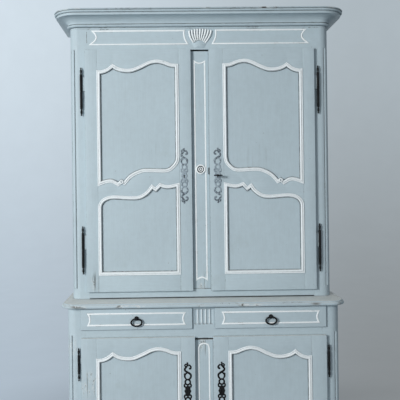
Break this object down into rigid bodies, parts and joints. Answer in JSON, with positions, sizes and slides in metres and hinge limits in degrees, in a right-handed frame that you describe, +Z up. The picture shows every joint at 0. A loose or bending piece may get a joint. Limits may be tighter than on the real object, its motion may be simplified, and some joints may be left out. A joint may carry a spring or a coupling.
{
  "type": "two-part buffet",
  "caption": "Tall two-part painted buffet: a low cupboard with drawers and panelled doors carries a set-back case with scalloped panel doors under a moulded cornice.",
  "frame": {"origin": "middle of the bounding box on the floor", "axes": "+Z up, the front faces -Y, +X to the right seen from the front"},
  "size_m": [1.422, 0.55, 2.3],
  "materials": {
    "painted_wood": "blue-grey paint, satin, carved lines picked out in white",
    "bare_wood": "planed softwood",
    "black_iron": "black, hand filed",
    "painted_iron": "painted over with the wood"
  },
  "bodies": {
    "carcass": {"apron_rail": "painted_wood", "lower_floor": "bare_wood", "lower_back": "bare_wood", "drawer_deck": "painted_wood", "lower_centre_post": "painted_wood", "buffet_top": "painted_wood", "frieze_rail": "painted_wood", "upper_floor": "painted_wood", "upper_shelf": "bare_wood", "upper_back": "bare_wood", "upper_centre_post": "painted_wood", "cornice": "painted_wood", "lower_post_left": "painted_wood", "lower_side_left": "painted_wood", "upper_post_left": "painted_wood", "upper_side_left": "painted_wood", "upper_top_hinge_left_pin": "black_iron", "upper_bottom_hinge_left_pin": "black_iron", "lower_top_hinge_left_pin": "black_iron", "lower_bottom_hinge_left_pin": "black_iron", "lower_post_right": "painted_wood", "lower_side_right": "painted_wood", "upper_post_right": "painted_wood", "upper_side_right": "painted_wood", "upper_top_hinge_right_pin": "black_iron", "upper_bottom_hinge_right_pin": "black_iron", "lower_top_hinge_right_pin": "black_iron", "lower_bottom_hinge_right_pin": "black_iron"},
    "upper_door_left": {"upper_door_frame_left": "painted_wood", "upper_door_tall_panel_left": "painted_wood", "upper_door_short_panel_left": "painted_wood", "upper_top_hinge_left_knuckle": "black_iron", "upper_bottom_hinge_left_knuckle": "black_iron", "upper_escutcheon_left": "painted_iron"},
    "lower_door_left": {"lower_door_frame_left": "painted_wood", "lower_door_panel_left": "painted_wood", "lower_top_hinge_left_knuckle": "black_iron", "lower_bottom_hinge_left_knuckle": "black_iron", "lower_escutcheon_left": "black_iron"},
    "drawer_left": {"drawer_front_left": "painted_wood", "drawer_box_left": "bare_wood", "pull_post_left": "black_iron"},
    "ring_left": {"pull_ring_left": "black_iron"},
    "upper_door_right": {"upper_door_frame_right": "painted_wood", "upper_door_tall_panel_right": "painted_wood", "upper_door_short_panel_right": "painted_wood", "upper_top_hinge_right_knuckle": "black_iron", "upper_bottom_hinge_right_knuckle": "black_iron", "upper_escutcheon_right": "painted_iron"},
    "lower_door_right": {"lower_door_frame_right": "painted_wood", "lower_door_panel_right": "painted_wood", "lower_top_hinge_right_knuckle": "black_iron", "lower_bottom_hinge_right_knuckle": "black_iron", "lower_escutcheon_right": "black_iron"},
    "drawer_right": {"drawer_front_right": "painted_wood", "drawer_box_right": "bare_wood", "pull_post_right": "black_iron"},
    "ring_right": {"pull_ring_right": "black_iron"},
    "lock_bolt": {"lock_bolt": "black_iron"},
    "key": {"key": "black_iron"}
  },
  "joints": [
    {"name": "upper_door_left_hinge", "type": "hinge", "parent": "carcass", "child": "upper_door_left", "pos_m": [-0.5775, -0.135, 0.936], "axis": [0, 0, -1], "range_deg": [0, 165]},
    {"name": "lower_door_left_hinge", "type": "hinge", "parent": "carcass", "child": "lower_door_left", "pos_m": [-0.5875, -0.255, 0.188], "axis": [0, 0, -1], "range_deg": [0, 165]},
    {"name": "drawer_left_slide", "type": "slide", "parent": "carcass", "child": "drawer_left", "axis": [0, -1, 0], "range_m": [0, 0.3]},
    {"name": "ring_left_swing", "type": "hinge", "parent": "drawer_left", "child": "ring_left", "pos_m": [-0.31525, -0.2655, 0.828], "axis": [-1, 0, 0], "range_deg": [0, 80]},
    {"name": "upper_door_right_hinge", "type": "hinge", "parent": "carcass", "child": "upper_door_right", "pos_m": [0.5775, -0.135, 0.936], "axis": [0, 0, 1], "range_deg": [0, 165]},
    {"name": "lower_door_right_hinge", "type": "hinge", "parent": "carcass", "child": "lower_door_right", "pos_m": [0.5875, -0.255, 0.188], "axis": [0, 0, 1], "range_deg": [0, 165]},
    {"name": "drawer_right_slide", "type": "slide", "parent": "carcass", "child": "drawer_right", "axis": [0, -1, 0], "range_m": [0, 0.3]},
    {"name": "ring_right_swing", "type": "hinge", "parent": "drawer_right", "child": "ring_right", "pos_m": [0.31525, -0.2655, 0.828], "axis": [-1, 0, 0], "range_deg": [0, 80]},
    {"name": "lock_bolt_slide", "type": "slide", "parent": "upper_door_right", "child": "lock_bolt", "axis": [-1, 0, 0], "range_m": [0, 0.012]},
    {"name": "key_turn", "type": "hinge", "parent": "upper_door_right", "child": "key", "pos_m": [0.0815, -0.143, 1.496], "axis": [0, 1, 0], "range_deg": [-90, 90]}
  ]
}
